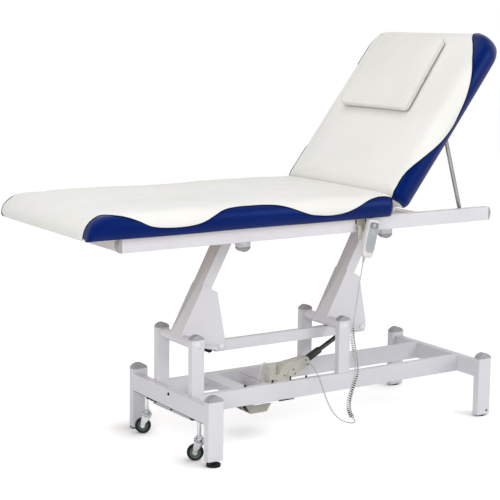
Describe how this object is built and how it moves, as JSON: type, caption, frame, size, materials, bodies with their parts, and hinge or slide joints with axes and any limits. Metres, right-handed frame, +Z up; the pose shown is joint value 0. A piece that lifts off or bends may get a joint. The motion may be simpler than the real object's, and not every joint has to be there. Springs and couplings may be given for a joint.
{
  "type": "electric physiotherapy table",
  "caption": "Electric height-adjustable treatment table: parallel lifting arms on a welded base, long padded seat section, raised reclining backrest, head pillow and a wired handset.",
  "frame": {"origin": "on the floor, under the middle of the whole table's box", "axes": "+X towards the head end with the backrest, +Z up, -Y is the side with the handset"},
  "size_m": [1.757, 0.7, 1.4745],
  "materials": {
    "frame_paint": "light grey-white powder coat, satin",
    "grey_cap": "mid-grey moulded plastic",
    "black_rubber": "black moulded rubber, matt",
    "zinc": "bright zinc plate",
    "bright_chrome": "polished chrome plate",
    "tyre_rubber": "dark rubber tread",
    "hub_plastic": "grey-green moulded plastic",
    "beige_plastic": "beige-grey moulded plastic",
    "black_plastic": "black moulded plastic",
    "white_vinyl": "warm-white vinyl with navy vinyl panels, fine grain",
    "plywood": "plain plywood",
    "handset_shell": "white moulded plastic, satin",
    "keypad_film": "grey printed film",
    "button_plastic": "light grey soft-touch plastic",
    "cord_grey": "grey-white cable sheath"
  },
  "bodies": {
    "base": {"base_legs": "frame_paint", "leg_caps": "grey_cap", "levelling_feet": "black_rubber", "base_side_rails": "frame_paint", "base_cross_tubes": "frame_paint", "base_cross_member": "frame_paint", "lower_posts": "frame_paint", "lower_post_caps": "grey_cap", "lower_pivot_shafts": "zinc", "actuator_mount": "frame_paint", "actuator_rear_pin": "zinc", "control_plate": "zinc", "control_box": "beige_plastic", "control_box_plugs": "black_plastic", "caster_bar": "bright_chrome", "cord_lead": "cord_grey", "cord_coil": "cord_grey"},
    "near_caster_swivel": {"near_caster_fork": "zinc", "near_caster_axle": "zinc"},
    "near_caster_wheel": {"near_caster_hub": "hub_plastic", "near_caster_tyre": "tyre_rubber"},
    "far_caster_swivel": {"far_caster_fork": "zinc", "far_caster_axle": "zinc"},
    "far_caster_wheel": {"far_caster_hub": "hub_plastic", "far_caster_tyre": "tyre_rubber"},
    "foot_arm": {"foot_arm_tube": "frame_paint", "foot_arm_gussets": "frame_paint", "foot_arm_hubs": "frame_paint", "foot_arm_tie_pin": "zinc"},
    "head_arm": {"head_arm_tube": "frame_paint", "head_arm_gussets": "frame_paint", "head_arm_hubs": "frame_paint", "head_arm_tie_pin": "zinc"},
    "tie_bar": {"tie_bar": "frame_paint"},
    "actuator_body": {"actuator_housing": "beige_plastic", "actuator_motor": "black_plastic"},
    "actuator_rod": {"actuator_rod": "bright_chrome"},
    "top_frame": {"top_rails": "frame_paint", "top_cross_tubes": "frame_paint", "top_rail_caps": "grey_cap", "upper_posts": "frame_paint", "upper_post_caps": "grey_cap", "upper_pivot_shafts": "zinc", "seat_board": "plywood", "seat_pad": "white_vinyl", "hinge_ears": "frame_paint", "prop_pins": "zinc", "handset_hook": "black_plastic", "handset_body": "handset_shell", "handset_keypad": "keypad_film", "handset_relief": "handset_shell", "cord_top": "cord_grey"},
    "button_up": {"button_up": "button_plastic"},
    "button_down": {"button_down": "button_plastic"},
    "backrest": {"back_board": "plywood", "back_pad": "white_vinyl", "back_hinge_lugs": "frame_paint", "prop_racks": "zinc", "pillow": "white_vinyl"},
    "back_prop": {"back_prop": "bright_chrome"}
  },
  "joints": [
    {"name": "lift", "type": "hinge", "parent": "base", "child": "head_arm", "pos_m": [0.2795, 0, 0.393], "axis": [0, 1, 0], "range_deg": [0, 60], "deforming": ["cord_coil"]},
    {"name": "foot_arm_swing", "type": "hinge", "parent": "base", "child": "foot_arm", "pos_m": [-0.3545, 0, 0.393], "axis": [0, 1, 0], "range_deg": [0, 60]},
    {"name": "top_level", "type": "hinge", "parent": "head_arm", "child": "top_frame", "pos_m": [0.46729, 0, 0.74618], "axis": [0, 1, 0], "range_deg": [-60, 0]},
    {"name": "tie_level", "type": "hinge", "parent": "head_arm", "child": "tie_bar", "pos_m": [0.4335, 0, 0.353], "axis": [0, 1, 0], "range_deg": [-60, 0]},
    {"name": "actuator_swing", "type": "hinge", "parent": "base", "child": "actuator_body", "pos_m": [0.0545, 0.018, 0.158], "axis": [0, 1, 0], "range_deg": [0, 10.3]},
    {"name": "actuator_stroke", "type": "slide", "parent": "actuator_body", "child": "actuator_rod", "axis": [0.8892, 0, 0.4575], "range_m": [-0.14718, 0]},
    {"name": "recline", "type": "hinge", "parent": "top_frame", "child": "backrest", "pos_m": [0.3565, 0, 0.86168], "axis": [0, 1, 0], "range_deg": [0, 52.5]},
    {"name": "prop_swing", "type": "hinge", "parent": "top_frame", "child": "back_prop", "pos_m": [0.7145, 0, 0.79918], "axis": [0, 1, 0], "range_deg": [0, 107.2]},
    {"name": "near_caster_turn", "type": "hinge", "parent": "base", "child": "near_caster_swivel", "pos_m": [-0.3795, -0.188, 0.062], "axis": [0, 0, 1], "continuous": true},
    {"name": "near_caster_roll", "type": "hinge", "parent": "near_caster_swivel", "child": "near_caster_wheel", "pos_m": [-0.39124, -0.18038, 0.0295], "axis": [-0.5446, -0.8387, 0], "continuous": true},
    {"name": "far_caster_turn", "type": "hinge", "parent": "base", "child": "far_caster_swivel", "pos_m": [-0.3795, 0.188, 0.062], "axis": [0, 0, 1], "continuous": true},
    {"name": "far_caster_roll", "type": "hinge", "parent": "far_caster_swivel", "child": "far_caster_wheel", "pos_m": [-0.39124, 0.19562, 0.0295], "axis": [-0.5446, -0.8387, 0], "continuous": true},
    {"name": "button_up_press", "type": "slide", "parent": "top_frame", "child": "button_up", "axis": [0, 1, 0], "range_m": [0, 0.0012], "stiffness_N_per_m": 400},
    {"name": "button_down_press", "type": "slide", "parent": "top_frame", "child": "button_down", "axis": [0, 1, 0], "range_m": [0, 0.0012], "stiffness_N_per_m": 400}
  ],
  "couplings": [
    {"joint": "foot_arm_swing", "follows": "lift", "ratio": 1},
    {"joint": "top_level", "follows": "lift", "ratio": -1},
    {"joint": "tie_level", "follows": "lift", "ratio": -1},
    {"joint": "actuator_swing", "follows": "lift", "ratio": 0.17079},
    {"joint": "actuator_stroke", "follows": "lift", "m_per_rad": -0.14007},
    {"joint": "prop_swing", "follows": "recline", "ratio": 2.04}
  ]
}
